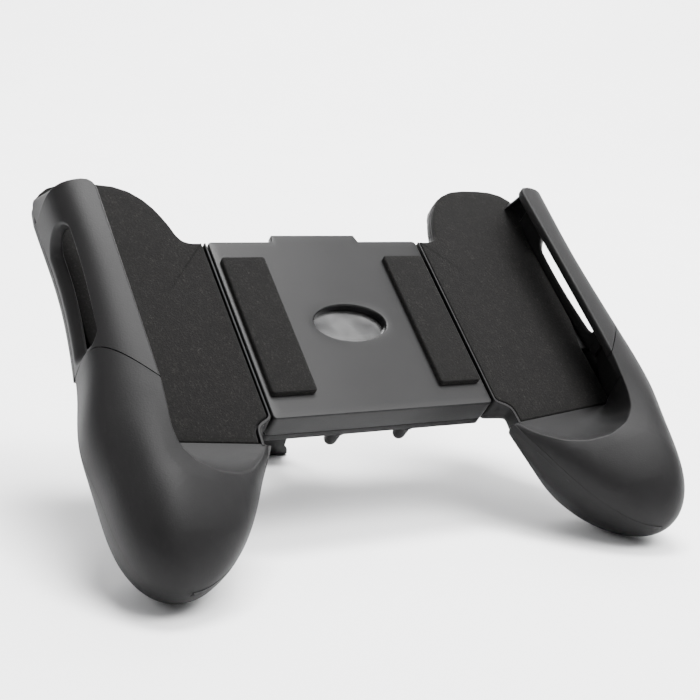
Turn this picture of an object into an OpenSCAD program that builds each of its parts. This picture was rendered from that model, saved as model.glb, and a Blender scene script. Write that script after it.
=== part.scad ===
// Stretching two-handed grip that holds a phone for play, standing on its own kickstand.
// Every piece is drawn in the plate frame: x along the stretch, y up the plate towards its far edge,
// z out of the plate with 0 on its face. The whole is then tilted back as it stands on a table.

/* [Centre plate] */
// Width of the centre plate along the stretch
plate_w = 63; // [58:1:70]
// Depth of the centre plate
plate_d = 56; // [52:1:62]
// Thickness of the centre body from its face to its back
body_t = 9.3; // [9:0.1:11]
// Thickness of the plate's skin
skin_t = 2; // [1.6:0.1:2.4]
// Thickness of the plate's near and far walls
wall_t = 2; // [1.6:0.1:2.6]
// Corner radius of the plate
plate_r = 1.2; // [0.6:0.1:2]
// Thickness of the rear cover
cover_t = 2.4; // [2:0.1:2.6]
// Width of the tab on the far edge
tab_w = 25.4; // [16:0.2:34]
// Reach of the tab past the far edge
tab_reach = 2.3; // [1:0.1:4]
// Width of the oval window
window_w = 20.8; // [14:0.2:24]
// Depth of the oval window
window_d = 11.8; // [8:0.2:16]
// Thickness of the foil badge under the window
badge_t = 0.5; // [0.3:0.1:0.6]
// Border of the badge hidden under the skin
badge_lap = 1.5; // [0.8:0.1:2.5]

/* [Foam] */
// Width of each strip pad
strip_w = 12.2; // [8:0.2:14]
// Depth of each strip pad
strip_d = 43; // [30:0.5:50]
// Thickness of the strip pads
strip_t = 1.5; // [1:0.1:2.5]
// Distance from the plate's side edge to a strip pad
strip_inset = 1.4; // [0.8:0.1:3]
// Thickness of the tray pads
pad_t = 1.5; // [1:0.1:2.5]
// Border of bare deck left round a tray pad
pad_inset = 0.8; // [0.4:0.1:2]
// Distance from a tray pad to the arm's wall
pad_gap = 3.7; // [3.6:0.1:5]

/* [Handles] */
// Gap between the plate and a handle when closed
slit = 0.6; // [0.4:0.1:1.5]
// Travel of each handle
travel = 18; // [8:1:20]
// Width of the neck beside the plate
neck_w = 7.7; // [6:0.1:10]
// Reach of the tray past the plate's far edge
tray_reach = 20.3; // [14:0.1:26]
// Radius of the tray's far corners
tray_r = 12; // [6:0.5:15]
// Radius of the fillet between neck and tray
neck_r = 4; // [2:0.5:6]
// Thickness of the tray deck
deck_t = 2; // [1.6:0.1:2.4]
// Wall of the rear shells and grip covers
shell_t = 2; // [1.6:0.1:2.6]
// Distance from the plate's edge to the outside of the arm
arm_out = 42.7; // [41:0.1:46]
// Distance from the plate's edge to the lip's inner edge
lip_in = 31.7; // [29:0.1:33]
// Wall of the arm and its lip
arm_t = 2.6; // [2:0.1:3.4]
// Height of the arm above the plate's face
arm_h = 15; // [14:0.5:18]
// Distance from the plate's centre line to the arm's far end
arm_far = 36; // [35:0.5:40]
// Length of the slot through the arm
slot_len = 36; // [20:0.5:38]
// Height of the slot through the arm
slot_h = 8; // [4:0.2:8.4]
// Distance from the plate's centre line to the slot's middle
slot_y = 7; // [4:0.5:9]
// Height of the slot's middle above the face
slot_z = 6.8; // [6.4:0.1:7.6]
// Distance from the plate's centre line to the grip seam at the lip
seam_y = 25; // [22:0.5:28]
// Angle of the grip seam across the arm
seam_turn = 50; // [40:1:56]
// Lean of the grip seam from upright
seam_lean = 3; // [0:1:8]
// Length of the raised rim along the slit at the neck's near corner
rim_len = 4.4; // [2:0.2:8]
// Distance from the plate's edge to the near part of the tray
near_in = 5.8; // [5.4:0.1:6.6]

/* [Grips] */
// Distance from the plate's centre line to the grip's tip
grip_reach = 69.5; // [64:0.5:76]
// Depth of the fullest part of the grip below the face
grip_drop = 21; // [18:0.5:24]
// Radius of the thumb scoop
scoop_r = 13; // [11:0.5:13.5]
// Height of the scoop's rim at its inner end
rim_low = 4; // [2:0.5:6]
// Distance from the plate's centre line to the scoop's middle
scoop_y = 35; // [33:0.5:38]

/* [Slides] */
// Width of a slide tongue
tongue_w = 40; // [30:0.5:42]
// Thickness of a slide tongue
tongue_t = 2.6; // [2:0.1:2.8]
// Running gap round a slide tongue
tongue_gap = 0.3; // [0.2:0.05:0.4]
// Length of a tongue still held in the body at full stretch
tongue_keep = 8.5; // [6:0.5:10]
// Length of a tongue inside its handle
tongue_hold = 14; // [12:0.5:18]
// Radius of a return spring
spring_r = 1.5; // [1.2:0.1:1.6]
// Radius of the spring post
post_r = 1.5; // [1:0.1:2]

/* [Stand] */
// Distance between the stand lugs' middles
lug_pitch = 20.2; // [18:0.2:26]
// Thickness of a stand lug
lug_t = 3.6; // [3:0.1:5]
// Radius of a stand lug
lug_r = 2.5; // [2.2:0.1:3]
// Drop of the hinge axis below the rear cover
hinge_drop = 3.4; // [3.2:0.1:5]
// Distance from the plate's far edge to the hinge axis
hinge_inset = 6; // [4:0.5:9]
// Radius of the hinge pin
pin_r = 1.25; // [1:0.05:1.5]
// Running clearance of the stand on its pin
pin_gap = 0.05; // [0.03:0.01:0.08]
// Length of the stand from its hinge to its foot
stand_len = 54.5; // [53.5:0.5:60]
// Width of the stand at its foot
foot_w = 13; // [9:0.5:16]
// Radius of the stand's foot bar
foot_r = 1.2; // [1:0.1:1.8]
// Thickness of the stand's leg
leg_t = 3; // [2:0.1:3.6]
// Radius of the pegs that guide the folded stand
peg_r = 1.8; // [1.2:0.1:1.8]
// Height of the pegs
peg_h = 5.9; // [4:0.1:7]
// Distance from the plate's near edge to the pegs
peg_inset = 2.2; // [2:0.1:5]

/* [Fasteners] */
// Radius of a screw's shank
screw_r = 1; // [0.8:0.05:1.2]
// Radius of a screw's head
head_r = 1.9; // [1.6:0.05:2.2]
// Height of a screw's head
head_h = 1.2; // [0.8:0.1:1.4]

/* [Posture] */
// Angle between the plate and the table
tilt = 38; // [34:0.5:42]

/* [Hidden] */
$fn = 48;

abs_grey = [0.2, 0.2, 0.21];
plate_grey = [0.26, 0.26, 0.27];
foam_grey = [0.23, 0.23, 0.23];
foil_silver = [0.78, 0.78, 0.8];
steel = [0.6, 0.6, 0.62];

// Levels of the stacked pieces, all below the plate's face
deck_top = -pad_t;
deck_low = deck_top - deck_t;
back = -body_t;
cover_top = back + cover_t;
tongue_low = cover_top + tongue_gap;
tongue_top = tongue_low + tongue_t;
spring_z = (tongue_low + tongue_top) / 2 + 0.1;

// Handle frame: x from the plate's side edge
edge = plate_w / 2;
tray_far = plate_d / 2 + tray_reach;
neck_out = slit + neck_w;
deck_near = -(scoop_y - 0.5);
wall_in = arm_out - arm_t;
boss_r = screw_r + 1.2;
tongue_start = edge - travel - tongue_keep;
hook_x = -3.5;
grip_bay = arm_h - arm_t;
fit = 0.2;
seam_foot = -13;
deck_inset = 0.6;
block_out = 24;

// Near edge of the tray, slanted away from the grip towards the arm
near_slope = 0.1125;
function bay_edge(x) = deck_near + near_slope * (x - near_in);

// Sections of the handle at stations down its length, as
// [y, inner side, outer side, top, underside, squareness of the upper half]:
// arm end, arm, seam, waist and fullest part of the grip.
stations = [
    [arm_far, neck_out + 0.2, arm_out, arm_h - 0.4, back, 4.5],
    [10, neck_out - 1.8, arm_out - 0.7, arm_h, back, 4.5],
    [-14, neck_out - 3.8, arm_out + 1.6, arm_h + 0.2, back + 1.6, 4],
    [-30, slit + 0.4, arm_out + 4.3, arm_h, back + 1.5, 3.2],
    [-46, neck_out + 1.6, arm_out + 2.3, arm_h - 1, -grip_drop, 3.2]];
// The tip lies this far inside the outer side, and the bulb closes with this power of the way to it
tip_x = arm_out - 9;
tip_power = 1.45;
// Squareness of the sections below the parting plane
low_power = 2;
last = len(stations) - 1;
cap_from = stations[last][0];

// Smooth curve through column k of the stations
function slope(k, i, j) = (stations[j][k] - stations[i][k]) / (stations[j][0] - stations[i][0]);
function span(y, i) = i >= last - 1 || y > stations[i + 1][0] ? i : span(y, i + 1);
function ease(k, y, i) =
    let (h = stations[i + 1][0] - stations[i][0],
        t = (y - stations[i][0]) / h,
        m0 = h * slope(k, max(i - 1, 0), i + 1), m1 = h * slope(k, i, min(i + 2, last)))
    (2 * t ^ 3 - 3 * t ^ 2 + 1) * stations[i][k] + (t ^ 3 - 2 * t ^ 2 + t) * m0
    + (3 * t ^ 2 - 2 * t ^ 3) * stations[i + 1][k] + (t ^ 3 - t ^ 2) * m1;
function held(y) = min(max(y, cap_from), stations[0][0]);
function column(k, y) = ease(k, held(y), span(held(y), 0));
// Share of the way from the fullest part to the tip, and how far the section has closed there
function way(y, w) = y >= cap_from ? 0 : min(1, (cap_from - y) / (grip_reach - w + cap_from));
function closed(y, w) = sqrt(max(0, 1 - way(y, w) ^ tip_power));
function middle(y, w) =
    let (c = (column(1, y) + column(2, y)) / 2) c + (tip_x - c) * way(y, w) ^ 2;
function half_w(y, w) = ((column(2, y) - column(1, y)) / 2 - w) * closed(y, w);
function rise(y, w) = (column(3, y) - deck_top - w) * closed(y, w);
function fall(y, w) = (deck_top - column(4, y) - w) * closed(y, w);
// Point of a section at angle v from its outer side: w is the inset of a wall, up is 1 for the upper half
function section(y, v, w, up) =
    let (p = 2 / (up > 0 ? column(5, y) : low_power), c = cos(v), s = sin(v))
    [middle(y, w) + half_w(y, w) * sign(c) * abs(c) ^ p, y,
        deck_top + up * (up > 0 ? rise(y, w) : fall(y, w)) * abs(s) ^ p];

// Past the seam the upper half falls away on its inner side, down towards the scoop's rim. The share of the
// height that is left goes by y, and k is the place across, from -1 at the inner side to 1 at the outer side.
fall_from = 25;
inner_left = [[34, 0.16], [36, 0.2], [40, 0.34], [47, 0.55], [58, 1]];
least_left = 0.04;
function smooth(t) = let (k = max(0, min(1, t))) k * k * (3 - 2 * k);
function height_left(y, k) =
    let (least = lookup(-y, inner_left), across = least + (1 - least) * smooth((k + 0.9) / 1.6))
    1 - smooth((-fall_from - y) / (8 + 14 * smooth((k + 0.5) / 0.7))) * (1 - across);
// Point of the upper half with that fall, a wall w below it
function shoulder(y, v, w) =
    let (q = section(y, v, w, 1), k = (q[0] - middle(y, w)) / half_w(y, w))
    [q[0], y, deck_top + (q[2] - deck_top)
        * max(least_left, (rise(y, 0) * height_left(y, k) - w * closed(y, w)) / rise(y, w))];

// Rows of a half grip: along the arm side first, then closing in to the tip
row_step = 6;
cap_steps = 8;
round_steps = 20;
function rows(from, w) = let (n = ceil((from - cap_from) / row_step)) concat(
    [for (i = [0 : n]) from + (cap_from - from) * i / n],
    [for (i = [1 : cap_steps]) cap_from - (grip_reach - w + cap_from) * sin(88 * i / cap_steps)]);

// Lowest corner of the grips and nearest one, in the tilted posture
low_ring = [for (y = rows(0, 0)) for (i = [0 : round_steps]) section(y, 180 * i / round_steps, 0, -1)];
top_ring = [for (y = rows(0, 0)) for (i = [0 : round_steps]) section(y, 180 * i / round_steps, 0, 1)];
floor_z = min([for (p = low_ring) p[1] * sin(tilt) + p[2] * cos(tilt)]);
near_y = min([for (p = concat(low_ring, top_ring)) p[1] * cos(tilt) - p[2] * sin(tilt)]);
far_y = tray_far * cos(tilt) - back * sin(tilt);

// Hinge of the stand, and the angle that brings its foot down to the table
hinge_y = plate_d / 2 - hinge_inset;
hinge_z = back - hinge_drop;
hinge_h = hinge_y * sin(tilt) + hinge_z * cos(tilt);
stand_open = 180 - tilt - asin(min(1, (hinge_h - floor_z - foot_r) / stand_len));

module posture() {
    translate([0, -(near_y + far_y) / 2, -floor_z]) rotate([tilt, 0, 0]) children();
}
module on_right() {
    posture() translate([edge, 0, 0]) children();
}
module on_left() {
    posture() mirror([1, 0, 0]) translate([edge, 0, 0]) children();
}

module slab(low, high) {
    translate([0, 0, low]) linear_extrude(high - low) children();
}
module rounded(w, d, r) {
    for (x = [-1, 1]) for (y = [-1, 1]) translate([x * (w / 2 - r), y * (d / 2 - r)]) circle(r);
    square([w - 2 * r, d], center = true);
    square([w, d - 2 * r], center = true);
}
module oval(w, d) {
    scale([w / d, 1]) circle(d / 2);
}
module along_x(from, to) {
    translate([from, 0, 0]) rotate([90, 0, 90]) linear_extrude(to - from) children();
}
module rod_x(r, from, to) {
    translate([from, 0, 0]) rotate([0, 90, 0]) cylinder(r = r, h = to - from);
}

// Centre body
rib_t = 1.2;
boss_x = plate_w / 2 - 5;
boss_y = plate_d / 2 - wall_t - boss_r - 0.2;
module at_bosses() {
    for (x = [-1, 1]) for (y = [-1, 1]) translate([x * boss_x, y * boss_y, 0]) children();
}
module front_plate() {
    color(plate_grey) posture() difference() {
        union() {
            difference() {
                slab(-skin_t, 0) union() {
                    rounded(plate_w, plate_d, plate_r);
                    translate([-tab_w / 2, 0]) square([tab_w, plate_d / 2 + tab_reach]);
                }
                slab(-skin_t - 1, 1) oval(window_w, window_d);
            }
            for (s = [-1, 1]) slab(cover_top, -skin_t)
                translate([0, s * (plate_d - wall_t) / 2]) square([plate_w, wall_t], center = true);
            for (s = [-1, 1]) slab(tongue_low, -skin_t)
                translate([0, s * (tongue_w / 2 + tongue_gap + rib_t / 2)])
                    square([plate_w - 4, rib_t], center = true);
            at_bosses() slab(cover_top, -skin_t) circle(boss_r);
        }
        at_bosses() translate([0, 0, cover_top]) cylinder(r = screw_r, h = body_t - cover_t - skin_t);
    }
}
module rear_cover() {
    color(abs_grey) posture() difference() {
        union() {
            slab(back, cover_top) rounded(plate_w, plate_d, plate_r);
            for (s = [-1, 1]) translate([0, hinge_y, hinge_z]) along_x(s * lug_pitch / 2 - lug_t / 2,
                s * lug_pitch / 2 + lug_t / 2) union() {
                circle(lug_r);
                translate([-lug_r, 0]) square([2 * lug_r, hinge_drop + 0.5]);
            }
            slab(cover_top, tongue_top) circle(post_r);
            for (s = [-1, 1]) translate([s * lug_pitch / 2, peg_inset - plate_d / 2, back - peg_h])
                cylinder(r = peg_r, h = peg_h + 0.5);
        }
        at_bosses() translate([0, 0, back - 1]) cylinder(r = screw_r, h = cover_t + 2);
        at_bosses() translate([0, 0, back - 1]) cylinder(r = head_r, h = head_h + 1);
        translate([0, hinge_y, hinge_z]) rod_x(pin_r, -plate_w / 2, plate_w / 2);
    }
}
module oval_badge() {
    color(foil_silver) posture() slab(-skin_t - badge_t, -skin_t)
        oval(window_w + 2 * badge_lap, window_d + 2 * badge_lap);
}
module strip_pad(side) {
    color(foam_grey) posture() slab(0, strip_t)
        translate([side * (edge - strip_inset - strip_w / 2), 0]) rounded(strip_w, strip_d, 0.8);
}
module screw(length) {
    cylinder(r = head_r, h = head_h);
    cylinder(r = screw_r, h = length);
}
module cover_screws() {
    color(steel) posture() at_bosses() translate([0, 0, back]) screw(body_t - skin_t - 0.5);
}

// Kickstand, drawn folded towards the near edge from its hinge and swung open
barrel_w = lug_pitch - lug_t - 0.6;
heel_r = 1;
foot_lap = 1.5;
foot_flare = 3;
leg_slot_end = 17;
heel_out = (hinge_drop - heel_r - 0.3) / sin(stand_open);
module stand() {
    color(abs_grey) posture() translate([0, hinge_y, hinge_z]) rotate([stand_open, 0, 0]) difference() {
        union() {
            rod_x(lug_r - 0.2, -barrel_w / 2, barrel_w / 2);
            slab(-leg_t / 2, leg_t / 2) polygon([[-barrel_w / 2, 0], [barrel_w / 2, 0],
                [foot_w / 2 - foot_lap, -stand_len + foot_flare], [foot_w / 2, -stand_len],
                [-foot_w / 2, -stand_len], [foot_lap - foot_w / 2, -stand_len + foot_flare]]);
            translate([0, -stand_len, 0]) rod_x(foot_r, -foot_w / 2, foot_w / 2);
            translate([0, heel_out, 0]) rod_x(heel_r, -barrel_w / 2, barrel_w / 2);
            slab(-heel_r, heel_r) translate([-barrel_w / 2, 0]) square([barrel_w, heel_out]);
        }
        rod_x(pin_r + pin_gap, -barrel_w, barrel_w);
        slab(-leg_t, leg_t) translate([-barrel_w / 5, leg_slot_end - stand_len])
            square([barrel_w / 2.5, stand_len - leg_slot_end - lug_r - 6]);
    }
}
module stand_pin() {
    color(steel) posture() translate([0, hinge_y, hinge_z])
        rod_x(pin_r, -(lug_pitch + lug_t) / 2, (lug_pitch + lug_t) / 2);
}

// Outline of the tray and its neck, from the plate's edge out
module tray_outline(inset, near) {
    far = tray_far - inset;
    r = tray_r - inset;
    from = neck_out + inset;
    near_from = near_in + inset;
    to = arm_out - inset;
    translate([from + r, far - r]) circle(r);
    translate([to - r, far - r]) circle(r);
    translate([from + r, 0]) square([to - from - 2 * r, far]);
    translate([from, 0]) square([to - from, far - r]);
    translate([near_from, near]) square([to + 9 - near_from, plate_d / 2 - near - 16]);
    translate([slit + inset, inset - plate_d / 2]) square([neck_out - slit - inset + 2, plate_d - 2 * inset]);
    translate([from - neck_r, plate_d / 2 - inset]) difference() {
        square([neck_r, neck_r]);
        translate([0, neck_r]) circle(neck_r);
    }
    translate([near_from - neck_r, inset - plate_d / 2 - neck_r]) difference() {
        square([neck_r, neck_r]);
        circle(neck_r);
    }
}
// Everything inside the handle's outer side
module handle_plan(w) {
    from = tray_far + 5;
    to = -45;
    polygon(concat([for (i = [0 : 24]) let (y = from + (to - from) * i / 24) [column(2, y) - w, y]],
        [[-60, to], [-60, from]]));
}
// Corner of the neck that the raised rim takes from the tray
module neck_corner(gap) {
    top = gap + rim_len - plate_d / 2;
    polygon([[-5, top], [slit + 1 + gap, top], [near_in - 1 + gap, gap - plate_d / 2],
        [near_in + gap, deck_near], [near_in + gap, -120], [-5, -120]]);
}
// Part of the plan beyond the tray's near edge
module near_side(gap) {
    polygon([[-60, bay_edge(-60) - gap], [-60, -200], [90, -200], [90, bay_edge(90) - gap]]);
}
// Plan of the deck: out to the arm's wall, but inside the walls of the grip
module deck_plan(gap) {
    difference() {
        intersection() {
            tray_outline(-gap, -60);
            union() {
                intersection() {
                    handle_plan(deck_inset - gap);
                    translate([-60, seam_foot - gap]) square([150, 150]);
                }
                handle_plan(shell_t + fit - gap);
            }
        }
        near_side(gap);
        neck_corner(-gap);
    }
}

// Faces turned the other way round
function turned(faces) = [for (f = faces) [for (i = [len(f) - 1 : -1 : 0]) f[i]]];

// Half of the grip above (up = 1) or below (up = -1) the parting plane, as a closed solid
module half_grip(from, w, up) {
    ys = rows(from, w);
    n = round_steps;
    ring = n + 1;
    points = [for (y = ys) for (i = [0 : n])
        up > 0 ? shoulder(y, 180 * i / n, w) : section(y, 180 * i / n, w, up)];
    ends = len(ys) - 1;
    sides = [for (j = [0 : ends - 1]) for (i = [0 : n - 1]) let (a = j * ring + i, b = a + ring)
        each [[a, a + 1, b + 1], [a, b + 1, b]]];
    flat = [for (j = [0 : ends - 1]) let (a = j * ring, b = a + ring)
        each [[a, b + n, a + n], [a, b, b + n]]];
    caps = [[for (i = [0 : n]) n - i], [for (i = [0 : n]) ends * ring + i]];
    faces = concat(sides, flat, caps);
    polyhedron(points, up > 0 ? turned(faces) : faces, convexity = 6);
}

// Arm: a wall that follows the section from the deck up and over to the lip
arm_steps = 12;
arm_rows = 12;
function lip_angle(y, w) = acos(max(0, (lip_in - middle(y, w)) / half_w(y, w)) ^ (column(5, y) / 2));
function arm_point(y, v, w) = section(y, v, w, 1);
function arm_foot(y, w) = [arm_point(y, 0, w)[0], y, deck_low + deck_t / 2];
function arm_ring(y) = concat(
    [arm_foot(y, 0)], [for (i = [1 : arm_steps]) arm_point(y, lip_angle(y, 0) * i / arm_steps, 0)],
    [for (i = [arm_steps : -1 : 1]) arm_point(y, lip_angle(y, arm_t) * i / arm_steps, arm_t)],
    [arm_foot(y, arm_t)]);
module arm_wall() {
    from = -seam_y - 3;
    ys = [for (i = [0 : arm_rows]) from + (arm_far - from) * i / arm_rows];
    m = 2 * arm_steps + 2;
    ends = len(ys) - 1;
    points = [for (y = ys) each arm_ring(y)];
    sides = [for (j = [0 : ends - 1]) for (i = [0 : m - 1])
        let (a = j * m + i, b = j * m + (i + 1) % m) each [[a, b + m, b], [a, a + m, b + m]]];
    near_cap = [for (i = [0 : arm_steps - 1]) each [[i, i + 1, m - 2 - i], [i, m - 2 - i, m - 1 - i]]];
    far_cap = [for (f = turned(near_cap)) [for (k = f) k + ends * m]];
    polyhedron(points, turned(concat(sides, near_cap, far_cap)), convexity = 8);
}
// Wall that closes the arm's far end, set back from the lip's edge
end_in = lip_in + 3;
module arm_end() {
    w = arm_t / 2;
    foot = deck_low + deck_t / 2;
    angle = acos(((end_in - middle(arm_far, w)) / half_w(arm_far, w)) ^ (column(5, arm_far) / 2));
    over = [for (i = [0 : arm_steps]) let (p = arm_point(arm_far, angle * i / arm_steps, w)) [p[0], p[2]]];
    translate([0, arm_far, 0]) rotate([90, 0, 0]) linear_extrude(arm_t)
        polygon(concat(over, [[end_in, foot], [over[0][0], foot]]));
}
// Space on the near side of the grip seam
module near_of_seam() {
    translate([lip_in, -seam_y, arm_h - 2]) rotate([0, 0, seam_turn]) rotate([-seam_lean, 0, 0])
        translate([-120, -120, -60]) cube([180, 120, 120]);
    translate([-60, -120, -60]) cube([60 + lip_in, 120 - seam_y, 120]);
}
// Space for the phone: open above, and under the lip out to the arm's wall
module bay_prism(to, w, top) {
    slab(-60, top) polygon([[near_in - w, bay_edge(near_in) - w], [to + w, bay_edge(to) - w],
        [to + w, 100], [near_in - w, 100]]);
}
module phone_bay(w) {
    bay_prism(lip_in, w, 60);
    bay_prism(wall_in - shell_t, w, grip_bay + w);
}
// Sloping plane of the scoop's rim, given by its turns about x and y through the rim's inner end. It cuts
// the grip's inner shoulder as far as rim_cut, and the bowl runs on past it by rim_over
rim_turn = [-21, -21, 0];
rim_over = 0.6;
rim_cut = 18;
scoop_x = lip_in - scoop_r + 0.8;
rim_at = [scoop_x - scoop_r, -scoop_y - 3];
function rim_z(x, y) = min(arm_h - 0.4, rim_low + rim_over - (x - rim_at[0]) * tan(rim_turn[1])
    + (min(y, -scoop_y) - rim_at[1]) * tan(rim_turn[0]) / cos(rim_turn[1]));
module rim_slope() {
    translate([rim_at[0], rim_at[1], rim_low]) rotate(rim_turn) translate([-20, -40, 0])
        cube([20 + rim_cut, 80, 40]);
}
// Thumb scoop: a bowl level with the tray pad in the middle, rising to the sloping rim all round
scoop_rings = 6;
scoop_turns = 36;
scoop_power = 2.4;
function scoop_point(r, v, w) =
    let (c = scoop_r * cos(v), s = scoop_r * sin(v), k = r / (scoop_r + w))
    [scoop_x + r * cos(v), r * sin(v) - scoop_y, rim_z(scoop_x + c, s - scoop_y) * k ^ scoop_power - w];
module scoop(w) {
    n = scoop_turns;
    m = scoop_rings;
    points = concat([[scoop_x, -scoop_y, -w]],
        [for (j = [1 : m]) for (i = [0 : n - 1]) scoop_point((scoop_r + w) * j / m, 360 * i / n, w)],
        [for (i = [0 : n - 1]) let (p = scoop_point(scoop_r + w, 360 * i / n, w)) [p[0], p[1], 60]]);
    middle_faces = [for (i = [0 : n - 1]) [0, 1 + i, 1 + (i + 1) % n]];
    ring_faces = [for (j = [0 : m - 1]) for (i = [0 : n - 1])
        let (a = 1 + j * n + i, b = 1 + j * n + (i + 1) % n) each [[a, a + n, b + n], [a, b + n, b]]];
    lid = [for (i = [n - 1 : -1 : 0]) 1 + m * n + i];
    polyhedron(points, concat(middle_faces, ring_faces, [lid]), convexity = 6);
}
// Neck inside the near part of the tray
module neck_plan(inset) {
    intersection() {
        tray_outline(inset, -plate_d / 2);
        translate([-5, -60]) square([5 + near_in, 120]);
    }
}
// Raised rim of the rear shell round the near corner of the neck
module neck_rim() {
    intersection() {
        neck_plan(0);
        neck_corner(0);
    }
}

// Screws through the rear shell: two into the deck, two up wells into the grip's cover
deck_screw_at = [[neck_out + 10, 22], [neck_out + 10, -22]];
grip_screw_at = [[tip_x, -(grip_reach - 17)], [arm_out, deck_near]];
well_top = deck_top - 3.5;
deck_screw_len = deck_top - 0.6 - back;
grip_screw_len = 7;
tongue_screw_at = [[slit + 9, 12], [slit + 9, -12]];

module clamp_frame() {
    color(abs_grey) difference() {
        union() {
            slab(deck_low, deck_top) deck_plan(0);
            for (p = deck_screw_at) translate([p[0], p[1], 0]) slab(back + shell_t, deck_low) circle(boss_r);
            difference() {
                arm_wall();
                near_of_seam();
            }
            arm_end();
        }
        translate([arm_out - 12, slot_y, slot_z]) along_x(0, 30) rounded(slot_len, slot_h, slot_h / 2 - 0.01);
        for (p = tongue_screw_at) translate([p[0], p[1], deck_low - 1]) cylinder(r = screw_r, h = deck_t + 2);
        for (p = deck_screw_at) translate([p[0], p[1], back]) cylinder(r = screw_r, h = deck_screw_len);
    }
}
module tray_pad() {
    color(foam_grey) slab(deck_top, 0) difference() {
        intersection() {
            tray_outline(pad_inset, -60);
            translate([-60, -60]) square([60 + wall_in - pad_gap, 200]);
        }
        near_side(-fit);
        neck_corner(2 * fit);
        translate([end_in - 2 * fit, arm_far - arm_t - 2 * fit]) square([60, 60]);
    }
}
module grip_front() {
    color(abs_grey) intersection() {
        difference() {
            half_grip(-8, 0, 1);
            difference() {
                half_grip(-6, shell_t, 1);
                scoop(shell_t);
                phone_bay(shell_t);
                slab(-60, 60) neck_plan(-fit - shell_t);
                slab(-60, 60) translate([-60, rim_at[1]]) square([60 + rim_at[0] + shell_t, 60]);
                for (p = grip_screw_at) translate([p[0], p[1], deck_top]) cylinder(r = boss_r, h = 40);
            }
            for (p = grip_screw_at) translate([p[0], p[1], deck_top - 1])
                cylinder(r = screw_r, h = grip_screw_len + well_top - deck_top + 1);
            scoop(0);
            phone_bay(0);
            slab(-60, 60) neck_plan(-fit);
            slab(-60, 60) translate([near_in - 2 * fit, deck_near]) square([4 * fit, 60]);
            rim_slope();
        }
        near_of_seam();
    }
}
// Underside of the handle: the lower half of its envelope, closed to the tray's far corners
module belly(w) {
    intersection() {
        half_grip(tray_far + 2, w, -1);
        slab(-60, 1) union() {
            tray_outline(w, -plate_d / 2);
            translate([-60, -140]) square([150, 150]);
        }
    }
}
// Flat block of the neck, out to the middle of the belly
module neck_block(w) {
    intersection() {
        tray_outline(w, -plate_d / 2);
        translate([-5, w - plate_d / 2]) square([block_out + 5, plate_d - 2 * w]);
    }
}
module rear_shell() {
    color(abs_grey) difference() {
        union() {
            belly(0);
            slab(back, deck_low) neck_block(0);
            slab(deck_low - 2, 0) neck_rim();
        }
        difference() {
            belly(shell_t);
            slab(-60, 1) difference() {
                translate([-60, -plate_d / 2 - neck_r]) square([60 + near_in, neck_r + shell_t]);
                translate([-60, -plate_d / 2 - neck_r]) square([60 + near_in - shell_t, neck_r]);
            }
            for (p = grip_screw_at) translate([p[0], p[1], -60]) cylinder(r = head_r + shell_t, h = 60);
        }
        slab(back + shell_t, deck_low + 1) neck_block(shell_t);
        slab(back + shell_t, deck_low + 1) translate([-1, -tongue_w / 2 - 1]) square([6, tongue_w + 2]);
        slab(deck_low, 1) deck_plan(fit);
        slab(deck_low, 1) translate([near_in, seam_foot - fit]) square([90, 150]);
        for (p = deck_screw_at) translate([p[0], p[1], back - 1]) cylinder(r = screw_r, h = shell_t + 2);
        for (p = deck_screw_at) translate([p[0], p[1], back - 1]) cylinder(r = head_r, h = head_h + 1);
        for (p = grip_screw_at) translate([p[0], p[1], -60]) cylinder(r = head_r, h = 60 + well_top + head_h);
        for (p = grip_screw_at) translate([p[0], p[1], -60]) cylinder(r = screw_r, h = 70);
    }
}
module slide_tongue() {
    from = tongue_start - edge;
    color(abs_grey) difference() {
        union() {
            slab(tongue_low, tongue_top) translate([from, -tongue_w / 2])
                square([slit + tongue_hold - from, tongue_w]);
            slab(tongue_low, deck_low) translate([slit + 2, -tongue_w / 2])
                square([tongue_hold - 2, tongue_w]);
        }
        slab(tongue_low - 1, deck_low + 1) translate([from - 1, -spring_r - 0.8])
            square([hook_x + 1 - from, 2 * spring_r + 1.6]);
        for (p = tongue_screw_at) translate([p[0], p[1], tongue_low - 1]) cylinder(r = screw_r, h = 9);
        for (p = tongue_screw_at) translate([p[0], p[1], tongue_low - 1])
            cylinder(r = head_r, h = head_h + 1);
    }
}
module return_spring() {
    color(steel) translate([0, 0, spring_z]) difference() {
        rod_x(spring_r, post_r - edge, hook_x);
        rod_x(spring_r - 0.6, post_r - edge - 1, hook_x + 1);
    }
}
module tongue_screws() {
    color(steel) for (p = tongue_screw_at) translate([p[0], p[1], tongue_low])
        screw(deck_top - 0.2 - tongue_low);
}
module shell_screws() {
    color(steel) for (p = deck_screw_at) translate([p[0], p[1], back]) screw(deck_screw_len);
    color(steel) for (p = grip_screw_at) translate([p[0], p[1], well_top]) screw(grip_screw_len);
}

front_plate();
rear_cover();
oval_badge();
strip_pad(-1);  // left_strip_pad
strip_pad(1);  // right_strip_pad
cover_screws();
stand();
stand_pin();
on_left() return_spring();  // left_return_spring
on_right() return_spring();  // right_return_spring
on_left() clamp_frame();  // left_clamp_frame
on_left() tray_pad();  // left_tray_pad
on_left() grip_front();  // left_grip_front
on_left() rear_shell();  // left_rear_shell
on_left() slide_tongue();  // left_slide_tongue
on_left() tongue_screws();  // left_tongue_screws
on_left() shell_screws();  // left_shell_screws
on_right() clamp_frame();  // right_clamp_frame
on_right() tray_pad();  // right_tray_pad
on_right() grip_front();  // right_grip_front
on_right() rear_shell();  // right_rear_shell
on_right() slide_tongue();  // right_slide_tongue
on_right() tongue_screws();  // right_tongue_screws
on_right() shell_screws();  // right_shell_screws
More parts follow.
